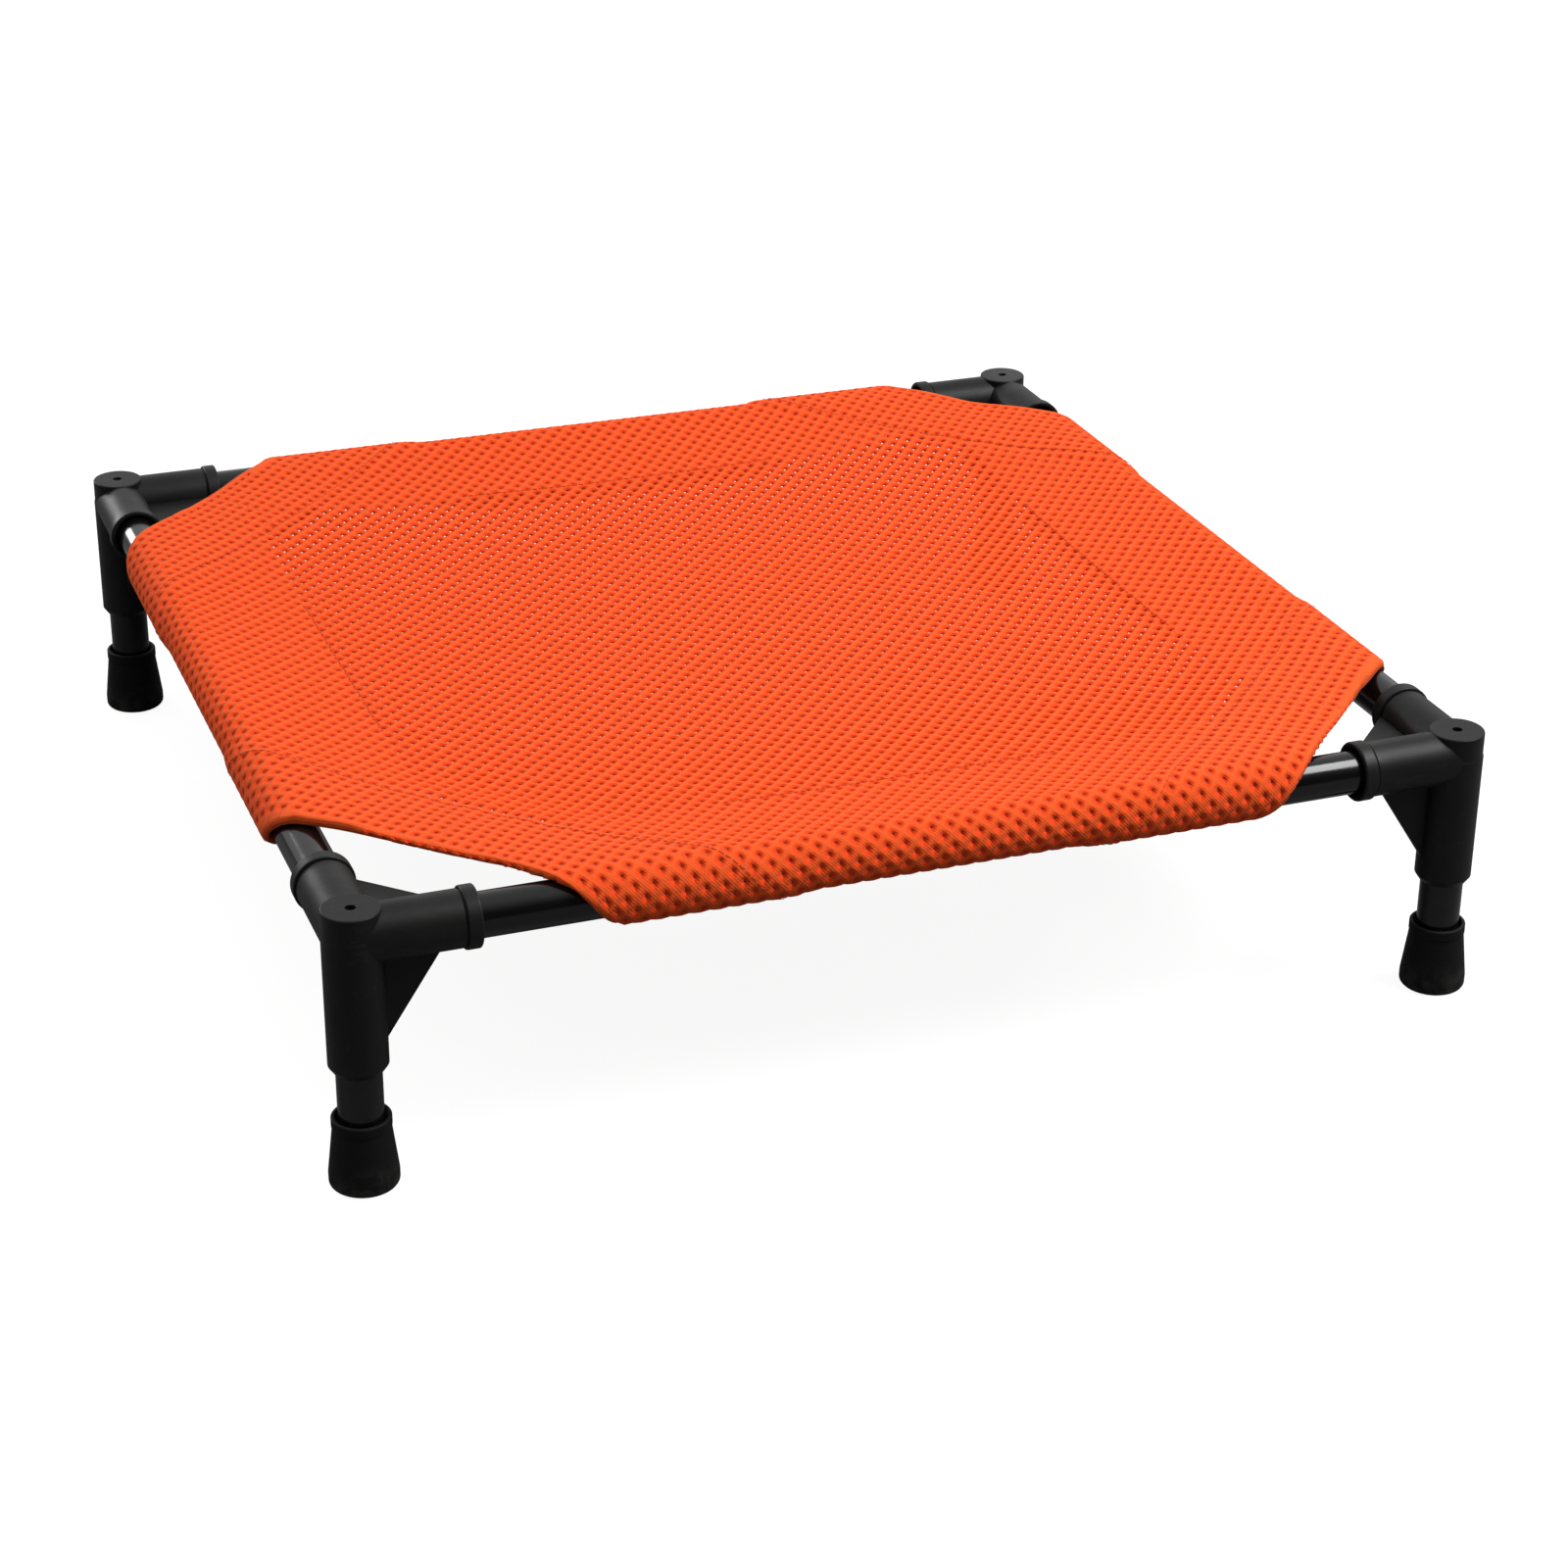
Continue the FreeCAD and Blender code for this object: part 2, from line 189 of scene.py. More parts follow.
def hump(distance, reach):
    """1 at no distance, fading smoothly within a few reaches."""
    return np.exp(-((distance / reach) ** 2))


def wander(along, across, rate, across_rate, drift):
    """A wave along one direction whose crests drift to and fro across it."""
    return np.sin(along * rate + drift * np.sin(across * across_rate))


def to_side(x, y, side):
    """Plan coordinates as u along a side's rail and v outward."""
    cos, sin = SIDES[side]
    return cos * x - sin * y, sin * x + cos * y


def from_side(u, v, side):
    """Plan coordinates of a point u along a side's rail and v outward."""
    cos, sin = SIDES[side]
    return cos * u + sin * v, cos * v - sin * u


class StretchedCloth:
    """Where a point of the flat cloth goes once the cover is on its frame.

    A flat point has x and y in the plan of the bed, with the rolled and sewn edges unrolled, and
    off, its height above the middle of the cloth's thickness.
    """

    # Panel: how full its bowl is, and how far in from a corner's fold the cloth is drawn straight.
    SAG_FULLNESS = 1.6
    CORNER_TAUT = 0.095
    SLOPE_STEP = 0.0005
    # Hems: how soon they start, how much their two layers are pressed, and where, in from the
    # rails, they begin and end their climb on to the tube.
    HEM_STEP = 0.011
    SQUEEZE = 0.36
    CLIMB_START = 0.040
    CLIMB_END = 0.010
    # Free edges: how far each is drawn in between its two rails, and how far in that is felt.
    EDGE_PULL = {"front_left": 0.0055, "front_right": 0.0010, "back_right": 0.0, "back_left": 0.0015}
    PULL_REACH = 0.060
    # Flap: its clearance under the panel.
    FLAP_CLEAR = 0.0002
    # Puckers: their strip in from the rails, and the height, reach and waves of the pulls beside a
    # hem seam, of the seam's own groove, and of the slow waves over the panel.
    PUCKER_START = 0.075
    PUCKER_END = 0.030
    PULL_HEIGHT, PULL_WIDTH, PULL_WAVE = 0.00045, 0.020, (165.0, 31.0, 0.8)
    GROOVE_DEPTH, GROOVE_WIDTH = 0.0005, 0.0045
    SLOW_HEIGHT, SLOW_REACH, SLOW_WAVE = 0.0006, 0.12, (17.0, 11.0, 1.3)
    SLOW_CROSS, SLOW_START = 14.0, 0.6

    def __init__(self, sizes):
        self.sizes = sizes
        self.radius = TUBE_RADIUS + sizes.cloth_gap + sizes.thickness / 2
        self.layer = 2 * sizes.fold_radius

    def cut(self, x, y):
        """The corner fold's sum of |x| and |y| in the quarter that holds x, y."""
        s = self.sizes
        front = np.where(x < 0, s.cut_front_left, s.cut_front_right)
        back = np.where(x < 0, s.cut_back_left, s.cut_back_right)
        return np.where(y < 0, front, back)

    def past_fold(self, x, y):
        """Distance past the nearest corner's fold, negative inside it."""
        return (np.abs(x) + np.abs(y) - self.cut(x, y)) / ROOT_TWO

    def is_doubled(self, x, y):
        """Whether the cloth here is a sleeve or a hem, or lies over a flap or a hem."""
        over_flap = max(abs(x), abs(y)) > RAIL_OUT - self.sizes.seam_inset
        return over_flap or self.past_fold(x, y) > -self.sizes.hem_width

    def drop(self, x, y):
        """How far the panel hangs below the rails' top: a bowl, drawn straight at the corners."""
        bowl = (1 - (x / RAIL_OUT) ** 2) * (1 - (y / RAIL_OUT) ** 2)
        depth = self.sizes.sag * (1 - np.clip(1 - bowl, 0, None) ** self.SAG_FULLNESS)
        return depth * ramp(0.0, self.CORNER_TAUT, -self.past_fold(x, y))

    def slope(self, x, y):
        """How steeply the panel drops along x and along y."""
        step = self.SLOPE_STEP
        across = (self.drop(x + step, y) - self.drop(x - step, y)) / (2 * step)
        along = (self.drop(x, y + step) - self.drop(x, y - step)) / (2 * step)
        return across, along

    def over_hem(self, x, y, off):
        """Thins the two pressed layers of a hem and lifts them off the rail they are wrapped round."""
        inner = -self.sizes.hem_width
        hem = ramp(inner - self.HEM_STEP, inner, self.past_fold(x, y))
        outward = np.maximum(np.abs(x), np.abs(y))
        wrapped = ramp(RAIL_OUT - self.CLIMB_START, RAIL_OUT - self.CLIMB_END, outward)
        return off + hem * (wrapped * self.layer * (1 - self.SQUEEZE) - off * self.SQUEEZE)

    def drawn_in(self, x, y):
        """Pulls the free edge across a corner a little inward between its two rails."""
        across = (np.abs(x) - np.abs(y)) / ROOT_TWO
        free = ROOT_TWO * RAIL_OUT - self.cut(x, y) / ROOT_TWO
        bow = np.clip(1 - (across / free) ** 2, 0.0, None)
        pull = sum(
            np.where((x * sign_x > 0) & (y * sign_y > 0), self.EDGE_PULL[corner], 0.0)
            for corner, (sign_x, sign_y) in CORNERS.items()
        )
        shift = pull / ROOT_TWO * bow * ramp(-self.PULL_REACH, 0.0, self.past_fold(x, y))
        return x - shift * np.sign(x), y - shift * np.sign(y)

    def pucker(self, x, y):
        """Shallow pulls beside the hem seams, the seams' groove, and slow waves over the panel."""
        fold = self.past_fold(x, y)
        from_seam = fold + self.sizes.hem_width
        along = np.abs(x) - np.abs(y)
        outward = np.maximum(np.abs(x), np.abs(y))
        free = 1 - ramp(RAIL_OUT - self.PUCKER_START, RAIL_OUT - self.PUCKER_END, outward)
        pulls = self.PULL_HEIGHT * wander(along, x, *self.PULL_WAVE) * hump(from_seam, self.PULL_WIDTH)
        groove = self.GROOVE_DEPTH * hump(from_seam, self.GROOVE_WIDTH)
        waves = self.SLOW_HEIGHT * wander(x, y, *self.SLOW_WAVE)
        waves = waves * np.sin(y * self.SLOW_CROSS + self.SLOW_START)
        return free * (pulls + waves * ramp(0.0, self.SLOW_REACH, -fold) - groove)

    def panel(self, x, y, off):
        """Points of the open panel between the rails."""
        across, along = self.slope(x, y)
        steep = np.sqrt(1 + across**2 + along**2)
        up = RAIL_UP + self.radius * steep - self.drop(x, y) + self.pucker(x, y)
        return np.stack([x + off * across / steep, y + off * along / steep, up + off / steep], axis=1)

    def entry(self, u, side):
        """Angle before the rail's top at which the panel meets the sleeve."""
        inside = self.drop(*from_side(u, RAIL_OUT - self.SLOPE_STEP, side))
        return np.arctan(inside / self.SLOPE_STEP)

    def height(self, u, v, side):
        """Height of the panel's middle at a side's u and v."""
        x, y = from_side(u, v, side)
        return self.panel(x, y, np.zeros_like(u))[:, 2]

    def sleeve(self, u, v, off, side):
        """Points past a side's entry line: round the rail, then back under as the sewn flap."""
        inset = self.sizes.seam_inset
        entry = self.entry(u, side)
        seam_up = self.height(u, RAIL_OUT - inset, side) - self.layer - self.FLAP_CLEAR
        fall = RAIL_UP - seam_up
        reach = np.hypot(inset, fall)
        leave = np.arcsin(self.radius / reach) - np.arctan2(fall, inset)
        flap = np.sqrt(reach**2 - self.radius**2)
        turned = (v - RAIL_OUT) / self.radius + np.sin(entry) - entry
        last = math.pi + leave
        angle = np.minimum(turned, last)
        run = np.maximum(turned - last, 0.0) * self.radius
        straight = np.minimum(run, flap)
        tail = np.maximum(run - flap, 0.0)
        out = (self.radius + off) * np.sin(angle) - straight * np.cos(leave) - tail
        up = (self.radius + off) * np.cos(angle) + straight * np.sin(leave)
        up += self.height(u, RAIL_OUT - inset - tail, side) - self.height(u, RAIL_OUT - inset, side)
        x, y = from_side(u, RAIL_OUT + out, side)
        return np.stack([x, y, RAIL_UP + up], axis=1)

    def lay(self, flat):
        """Flat points, one a row, to their places on the frame."""
        x, y, off = (flat[:, k].astype(float) for k in range(3))
        fold = self.past_fold(x, y)
        bend = self.sizes.fold_radius
        turn = np.clip(fold / bend, 0.0, math.pi)
        folded = np.where(fold < math.pi * bend, (bend + off) * np.sin(turn), math.pi * bend - fold)
        back = np.where(fold > 0, fold - folded, 0.0) / ROOT_TWO
        off = np.where(fold > 0, (bend + off) * np.cos(turn) - bend, off)
        x, y = x - back * np.sign(x), y - back * np.sign(y)
        off = self.over_hem(x, y, off)
        x, y = self.drawn_in(x, y)
        placed = self.panel(x, y, off)
        for side in SIDES:
            u, v = to_side(x, y, side)
            rolled = v > RAIL_OUT - self.radius * np.sin(self.entry(u, side))
            if rolled.any():
                placed[rolled] = self.sleeve(u[rolled], v[rolled], off[rolled], side)
        return placed


# ---------------------------------------------------------------- knitting and sewing


# Face cells narrower than this stay closed.
LEAST_CELL = 0.0028
# A cell's face strand is rounded down to a lip, and the lip falls to a small hole at the bottom of
# a pit. The two radii are shares of the hole pitch, and are held within shares of the way from the
# cell's middle to its edge.
STRAND_ROUND = 0.0003
LIP_RADIUS, LIP_SHARE = 0.352, 0.88
OPEN_HOLE, DOUBLED_HOLE, HOLE_SHARE = 0.052, 0.02, 0.35
OPEN_PIT = 0.0016
DOUBLED_PIT = 0.0010
# The knit's own unevenness: how far cells stray along x and y, and how that wanders.
STRAY_X, STRAY_X_WAVE = 0.00022, (190.0, 83.0, 3.0)
STRAY_Y, STRAY_Y_WAVE = 0.00018, (230.0, 71.0, 2.0)
# How far a side piece is knitted each way along its rail, and the spare cloth across it.
SIDE_REACH = 0.30
SIDE_SPARE = 0.01
# Threads: a stitch's size, how far it stands off the cloth, and how far in the seams are sewn.
STITCH_LENGTH = 0.0034
STITCH_WIDTH = 0.0006
THREAD_LIFT = 0.0002
FLAP_MARGIN = 0.004
SLEEVE_MARGIN = 0.0015
HEM_MARGIN = 0.003


def inside_middle(x, y, sizes):
    """Whether a flat point belongs to the cover's middle piece."""
    return max(abs(x), abs(y)) < sizes.middle_half


def side_of(x, y):
    """The side of the bed that a flat point lies towards."""
    if abs(y) >= abs(x):
        return "back" if y > 0 else "front"
    return "right" if x > 0 else "left"


def everything(bm):
    return bm.verts[:] + bm.edges[:] + bm.faces[:]


def only(kind, geom):
    return [part for part in geom if isinstance(part, kind)]


def shifted(bm, geom, offset):
    """Moves the corners in geom, and gives geom back."""
    bmesh.ops.translate(bm, verts=only(bmesh.types.BMVert, geom), vec=offset)
    return geom


def copied(bm, geom, offset):
    """A copy of geom, moved by offset."""
    return shifted(bm, bmesh.ops.duplicate(bm, geom=geom)["geom"], offset)


def in_order(bm):
    """Sorts edges and faces by place, because extruding leaves the new ones in no fixed order."""
    for parts in (bm.edges, bm.faces):
        parts.index_update()
        places = [tuple(sum((vert.co for vert in part.verts), Vector())) for part in parts]
        ranks = [0] * len(places)
        for rank, index in enumerate(sorted(range(len(places)), key=places.__getitem__)):
            ranks[index] = rank
        parts.sort(key=lambda part: ranks[part.index])


def honeycomb(sizes, low, high, wanted):
    """Flat cells from low to high whose middles are wanted, in offset rows and joined."""
    pitch, row_pitch = sizes.hole_pitch, sizes.row_pitch
    bm = bmesh.new()
    bmesh.ops.create_circle(bm, cap_ends=True, segments=4, radius=1.0)
    bmesh.ops.scale(bm, verts=bm.verts, vec=(pitch / 2, row_pitch, 1.0))
    bmesh.ops.bisect_edges(bm, edges=bm.edges, cuts=1)
    first, last = (math.floor(edge / pitch) for edge in (low[0], high[0]))
    bmesh.ops.translate(bm, verts=bm.verts, vec=(first * pitch, 0, 0))
    cell = everything(bm)
    for column in range(1, last - first + 2):
        copied(bm, cell, (column * pitch, 0, 0))
    row = everything(bm)
    bottom, top = (math.floor(edge / row_pitch) for edge in (low[1], high[1]))
    for step in range(bottom, top + 2):
        copied(bm, row, (step % 2 * pitch / 2, step * row_pitch, 0))
    bmesh.ops.delete(bm, geom=only(bmesh.types.BMVert, row), context="VERTS")
    unwanted = []
    for face in bm.faces:
        middle = face.calc_center_median()
        if not wanted(middle.x, middle.y):
            unwanted.append(face)
    bmesh.ops.delete(bm, geom=unwanted, context="FACES")
    bmesh.ops.remove_doubles(bm, verts=bm.verts, dist=MERGE)
    if not bm.faces:
        raise RuntimeError("no cells of the mesh were kept")
    return bm


def slice_net(bm, point, direction, trim):
    """Cuts the net along a line, and drops what lies beyond it if it is a trim."""
    bmesh.ops.bisect_plane(
        bm, geom=everything(bm), dist=MERGE / 10, plane_co=point, plane_no=direction, clear_outer=trim
    )


def cut_corner(bm, sizes, corner):
    """Lays a strand along a corner's fold and trims the hem to its width."""
    sign_x, sign_y = CORNERS[corner]
    outward = Vector((sign_x, sign_y, 0)).normalized()
    cut = getattr(sizes, f"cut_{corner}") / ROOT_TWO
    folded = cut + math.pi * sizes.fold_radius
    slice_net(bm, outward * cut, outward, False)
    slice_net(bm, outward * folded, outward, False)
    slice_net(bm, outward * (folded + sizes.hem_width), outward, True)


def sunk(bm, faces, rings):
    """Sinks each cell through rings. A ring gives, for a cell's middle, the radius and level of its
    corners; they stay within share of the way to the cell's edge."""
    plans = []
    for face in faces:
        middle = face.calc_center_median()
        plans.append((middle, [vert.co - middle for vert in face.verts]))
    for ring, share in rings:
        bmesh.ops.inset_individual(bm, faces=faces, thickness=0.0, depth=0.0)
        for face, (middle, arms) in zip(faces, plans):
            reach, level = ring(middle)
            for vert, arm in zip(face.verts, arms):
                place = middle + arm * min(share, reach / arm.length)
                vert.co = (place.x, place.y, level)


def knit(bm, sizes):
    """Turns flat cells into spacer mesh: strands round pits, with small holes through the back."""
    half = sizes.thickness / 2
    through = (0, 0, -2 * half)
    cloth = StretchedCloth(sizes)
    rim = [edge for edge in bm.edges if edge.is_boundary]
    front = shifted(bm, everything(bm), (0, 0, half))
    back = copied(bm, front, through)
    bmesh.ops.reverse_faces(bm, faces=only(bmesh.types.BMFace, back))
    shifted(bm, bmesh.ops.extrude_edge_only(bm, edges=rim)["geom"], through)
    bmesh.ops.remove_doubles(bm, verts=bm.verts, dist=MERGE)
    in_order(bm)
    bmesh.ops.recalc_face_normals(bm, faces=bm.faces)
    face_cells, back_cells = [], []
    for face in bm.faces:
        level = face.calc_center_median().z
        roomy = 2 * face.calc_area() / face.calc_perimeter() > LEAST_CELL
        if roomy and level > half - MERGE:
            face_cells.append(face)
        elif roomy and level < MERGE - half:
            back_cells.append(face)

    def lip(middle):
        return sizes.hole_pitch * LIP_RADIUS, half - STRAND_ROUND

    def hole(middle):
        if cloth.is_doubled(middle.x, middle.y):
            return sizes.hole_pitch * DOUBLED_HOLE, half - DOUBLED_PIT
        return sizes.hole_pitch * OPEN_HOLE, half - OPEN_PIT

    sunk(bm, face_cells, [(lip, LIP_SHARE), (hole, HOLE_SHARE)])
    sunk(bm, back_cells, [(hole, HOLE_SHARE)])
    bmesh.ops.delete(bm, geom=face_cells + back_cells, context="FACES")
    bmesh.ops.remove_doubles(bm, verts=bm.verts, dist=MERGE)


def finished(bm, name, finish):
    """A scene object from a bmesh, riding on the frame."""
    mesh = bpy.data.meshes.new(name)
    bm.to_mesh(mesh)
    bm.free()
    piece = bpy.data.objects.new(name, mesh)
    bpy.context.scene.collection.objects.link(piece)
    mesh.materials.append(finish)
    mesh.shade_smooth()
    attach(piece, "frame")
    return piece


def lay_on_frame(piece, sizes):
    """Moves a flat piece to its place, and keeps its layout as a UV map and its depth as pit."""
    mesh = piece.data
    flat = np.empty(len(mesh.vertices) * 3, np.float32)
    mesh.vertices.foreach_get("co", flat)
    flat = flat.reshape(-1, 3)
    loop_verts = np.empty(len(mesh.loops), np.int32)
    mesh.loops.foreach_get("vertex_index", loop_verts)
    layout = mesh.uv_layers.new(name="cloth")
    layout.data.foreach_set("uv", flat[loop_verts, :2].ravel())
    half = sizes.thickness / 2
    depth = np.clip((half - flat[:, 2]) / DOUBLED_PIT, 0.0, 1.0)
    depth[flat[:, 2] < MERGE - half] = 0.0
    pit = mesh.attributes.new("pit", "FLOAT", "POINT")
    pit.data.foreach_set("value", depth.astype(np.float32))
    uneven = flat.astype(float)
    uneven[:, 0] += STRAY_X * wander(flat[:, 0], flat[:, 1], *STRAY_X_WAVE)
    uneven[:, 1] += STRAY_Y * wander(flat[:, 1], flat[:, 0], *STRAY_Y_WAVE)
    mesh.vertices.foreach_set("co", StretchedCloth(sizes).lay(uneven).astype(np.float32).ravel())
    mesh.update()


def cut_size(bm):
    """A flat piece's width and length, and its area."""
    flat = []
    for k in (0, 1):
        places = [vert.co[k] for vert in bm.verts]
        flat.append(max(places) - min(places))
    return flat, sum(face.calc_area() for face in bm.faces)


def stitches(bm, start, end, pitch, off):
    """A row of small thread bumps along a straight line of the flat cloth."""
    start, end = Vector(start), Vector(end)
    run = end - start
    count = max(2, round(run.length / pitch))
    turn = Matrix.Rotation(math.atan2(run.y, run.x), 4, "Z")
    size = Matrix.Diagonal((STITCH_LENGTH / 2, STITCH_WIDTH / 2, STITCH_WIDTH / 2, 1))
    for number in range(count):
        middle = start + run * ((number + 0.5) / count)
        place = Matrix.Translation((middle.x, middle.y, off))
        bmesh.ops.create_icosphere(bm, subdivisions=1, radius=1.0, matrix=place @ turn @ size)


# ---------------------------------------------------------------- finishes


def new_group(name, inputs, outputs):
    """An empty shader group with its sockets; returns it with its input and output nodes."""
    tree = bpy.data.node_groups.new(name, "ShaderNodeTree")
    for label, kind, default in inputs:
        socket = tree.interface.new_socket(label, in_out="INPUT", socket_type=kind)
        if default is not None:
            socket.default_value = default
    for label, kind in outputs:
        tree.interface.new_socket(label, in_out="OUTPUT", socket_type=kind)
    return tree, tree.nodes.new("NodeGroupInput"), tree.nodes.new("NodeGroupOutput")


def add(tree, kind, links=None, **values):
    """A node with its settings; links gives its inputs their values or the sockets that feed them."""
    made = tree.nodes.new(kind)
    for name, value in values.items():
        setattr(made, name, value)
    for socket, source in (links or {}).items():
        if isinstance(source, bpy.types.NodeSocket):
            tree.links.new(source, made.inputs[socket])
        else:
            made.inputs[socket].default_value = source
    return made


def math_node(tree, operation, first, second):
    """The result of a sum or other operation on two values or sockets."""
    return add(tree, "ShaderNodeMath", {0: first, 1: second}, operation=operation).outputs[0]


def scaled(tree, entry, amount):
    """A group's Vector input multiplied by the input that amount names."""
    return add(
        tree,
        "ShaderNodeVectorMath",
        {0: entry.outputs["Vector"], "Scale": entry.outputs[amount]},
        operation="SCALE",
    ).outputs[0]


def noise(tree, vector, scale, detail=3.0, rough=0.55):
    links = {"Vector": vector, "Scale": scale, "Detail": detail, "Roughness": rough}
    return add(tree, "ShaderNodeTexNoise", links).outputs["Fac"]


def spread(tree, value, low, high, to_low=0.0, to_high=1.0):
    """value, eased from low and high on to to_low and to_high."""
    return add(
        tree,
        "ShaderNodeMapRange",
        {"Value": value, "From Min": low, "From Max": high, "To Min": to_low, "To Max": to_high},
        interpolation_type="SMOOTHSTEP",
    ).outputs["Result"]


def blend_colours(tree, mask, first, second, how="MIX"):
    return add(
        tree, "ShaderNodeMix", {0: mask, 6: first, 7: second}, data_type="RGBA", blend_type=how
    ).outputs[2]


def knitted_yarn():
    """Fine knit loops: a height for bumps, and a mask of painted shade that is darker where the loops
    are low.
    """
    tree, entry, leave = new_group(
        "Knitted yarn",
        [("Vector", "NodeSocketVector", None), ("Loops per metre", "NodeSocketFloat", 900.0)],
        [("Height", "NodeSocketFloat"), ("Painted shade", "NodeSocketFloat")],
    )
    close = scaled(tree, entry, "Loops per metre")
    ribs = add(
        tree,
        "ShaderNodeTexWave",
        {"Vector": close, "Scale": 0.32, "Distortion": 2.2, "Detail": 1.0, "Detail Scale": 1.4},
        bands_direction="DIAGONAL",
    ).outputs["Fac"]
    loops = add(tree, "ShaderNodeTexVoronoi", {"Vector": close, "Scale": 1.0}).outputs["Distance"]
    fuzz = noise(tree, close, 2.6, 2.0)
    ribs, fuzz = math_node(tree, "MULTIPLY", ribs, 0.5), math_node(tree, "MULTIPLY", fuzz, 0.5)
    hollows = math_node(tree, "MULTIPLY", loops, 0.4)
    height = math_node(tree, "SUBTRACT", math_node(tree, "ADD", ribs, fuzz), hollows)
    tree.links.new(height, leave.inputs["Height"])
    tree.links.new(spread(tree, height, 0.05, 0.75), leave.inputs["Painted shade"])
    return tree


def mould_grain():
    """The fine spark-eroded texture of a moulding."""
    tree, entry, leave = new_group(
        "Mould grain",
        [("Vector", "NodeSocketVector", None), ("Grains per metre", "NodeSocketFloat", 1800.0)],
        [("Height", "NodeSocketFloat"), ("Speckle", "NodeSocketFloat")],
    )
    close = scaled(tree, entry, "Grains per metre")
    fine = noise(tree, close, 1.0, 2.0, 0.6)
    broad = noise(tree, close, 0.06, 3.0)
    tree.links.new(
        math_node(tree, "ADD", fine, math_node(tree, "MULTIPLY", broad, 0.7)), leave.inputs["Height"]
    )
    tree.links.new(spread(tree, fine, 0.56, 0.74), leave.inputs["Speckle"])
    return tree


def handling_marks():
    """Smudges and short rubs that hands leave, as a mask."""
    tree, entry, leave = new_group(
        "Handling marks",
        [("Vector", "NodeSocketVector", None), ("Strength", "NodeSocketFloat", 0.3)],
        [("Mask", "NodeSocketFloat")],
    )
    vector = entry.outputs["Vector"]
    smudge = spread(tree, noise(tree, vector, 26.0, 4.0, 0.6), 0.42, 0.72)
    turned = {"Vector": vector, "Rotation": (0.2, 0.5, 0.7), "Scale": (1.0, 9.0, 3.0)}
    stretched = add(tree, "ShaderNodeMapping", turned).outputs[0]
    rubs = spread(tree, noise(tree, stretched, 60.0, 2.0), 0.60, 0.70)
    both = math_node(tree, "MAXIMUM", smudge, math_node(tree, "MULTIPLY", rubs, 0.8))
    tree.links.new(math_node(tree, "MULTIPLY", both, entry.outputs["Strength"]), leave.inputs["Mask"])
    return tree


def floor_dust():
    """Dust that gathers near the floor and thins out by the given height, as a mask."""
    tree, entry, leave = new_group(
        "Floor dust",
        [
            ("Vector", "NodeSocketVector", None),
            ("Reach", "NodeSocketFloat", 0.02),
            ("Strength", "NodeSocketFloat", 0.2),
        ],
        [("Mask", "NodeSocketFloat")],
    )
    height = add(tree, "ShaderNodeSeparateXYZ", {0: entry.outputs["Vector"]}).outputs["Z"]
    low = math_node(tree, "SUBTRACT", 1.0, math_node(tree, "DIVIDE", height, entry.outputs["Reach"]))
    low = add(tree, "ShaderNodeClamp", {"Value": low}).outputs[0]
    cloud = spread(tree, noise(tree, entry.outputs["Vector"], 140.0, 4.0, 0.65), 0.35, 0.75)
    patchy = math_node(tree, "MULTIPLY", low, cloud)
    mask = math_node(tree, "MULTIPLY", patchy, entry.outputs["Strength"])
    tree.links.new(mask, leave.inputs["Mask"])
    return tree


GROUP_MAKERS = {
    "Knitted yarn": knitted_yarn,
    "Mould grain": mould_grain,
    "Handling marks": handling_marks,
    "Floor dust": floor_dust,
}


def use_group(tree, name, links):
    """Places a shared effect in a material, making it the first time."""
    group = bpy.data.node_groups.get(name) or GROUP_MAKERS[name]()
    return add(tree, "ShaderNodeGroup", links, node_tree=group).outputs


def new_finish(name, **constants):
    """A material, its tree and its shader, with values that are the same all over set on the shader."""
    finish = bpy.data.materials.new(name)
    finish.use_nodes = True
    tree = finish.node_tree
    shader = tree.nodes["Principled BSDF"]
    for socket, value in constants.items():
        shader.inputs[socket.replace("_", " ")].default_value = value
    return finish, tree, shader


def here(tree):
    """A piece's own coordinates, in metres."""
    return add(tree, "ShaderNodeTexCoord").outputs["Object"]


def bump(tree, shader, height, distance, amount):
    made = add(tree, "ShaderNodeBump", {"Height": height, "Distance": distance, "Strength": amount})
    tree.links.new(made.outputs["Normal"], shader.inputs["Normal"])


def rgba(value):
    return (*value, 1.0)


def shade(value, amount):
    return rgba([min(1.0, part * amount) for part in value])


def mesh_cloth_finish(sizes):
    """Orange-red spacer mesh: bright face strands, and a deeper red painted down the holes, partly the
    spacer yarn's own tone and partly painted shade of the pits.
    """
    finish, tree, shader = new_finish(
        "mesh cloth",
        Specular_IOR_Level=0.05,
        Sheen_Weight=0.12,
        Sheen_Roughness=0.45,
        Sheen_Tint=(1.0, 0.45, 0.25, 1.0),
    )
    layout = add(tree, "ShaderNodeUVMap", uv_map="cloth").outputs[0]
    yarn = use_group(tree, "Knitted yarn", {"Vector": layout, "Loops per metre": 1100.0})
    pit = add(tree, "ShaderNodeAttribute", attribute_name="pit").outputs["Fac"]
    lot = spread(tree, noise(tree, layout, 9.0, 3.0), 0.3, 0.7)
    # Painted shade: the knit's low places are drawn darker than its high ones.
    face = blend_colours(tree, yarn["Painted shade"], shade(sizes.yarn, 0.93), shade(sizes.yarn, 1.05))
    face = blend_colours(tree, lot, face, shade(sizes.yarn, 0.97))
    # Painted shade: the pits are drawn deeper red the further down they go, on top of the spacer yarn's
    # own tone.
    pile_and_shade_mask = spread(tree, pit, 0.20, 0.56)
    tree.links.new(blend_colours(tree, pile_and_shade_mask, face, rgba(sizes.pile_and_shade)), shader.inputs["Base Color"])
    tree.links.new(spread(tree, yarn["Painted shade"], 0.0, 1.0, 0.95, 0.82), shader.inputs["Roughness"])
    bump(tree, shader, yarn["Height"], 0.00035, 0.6)
    return finish


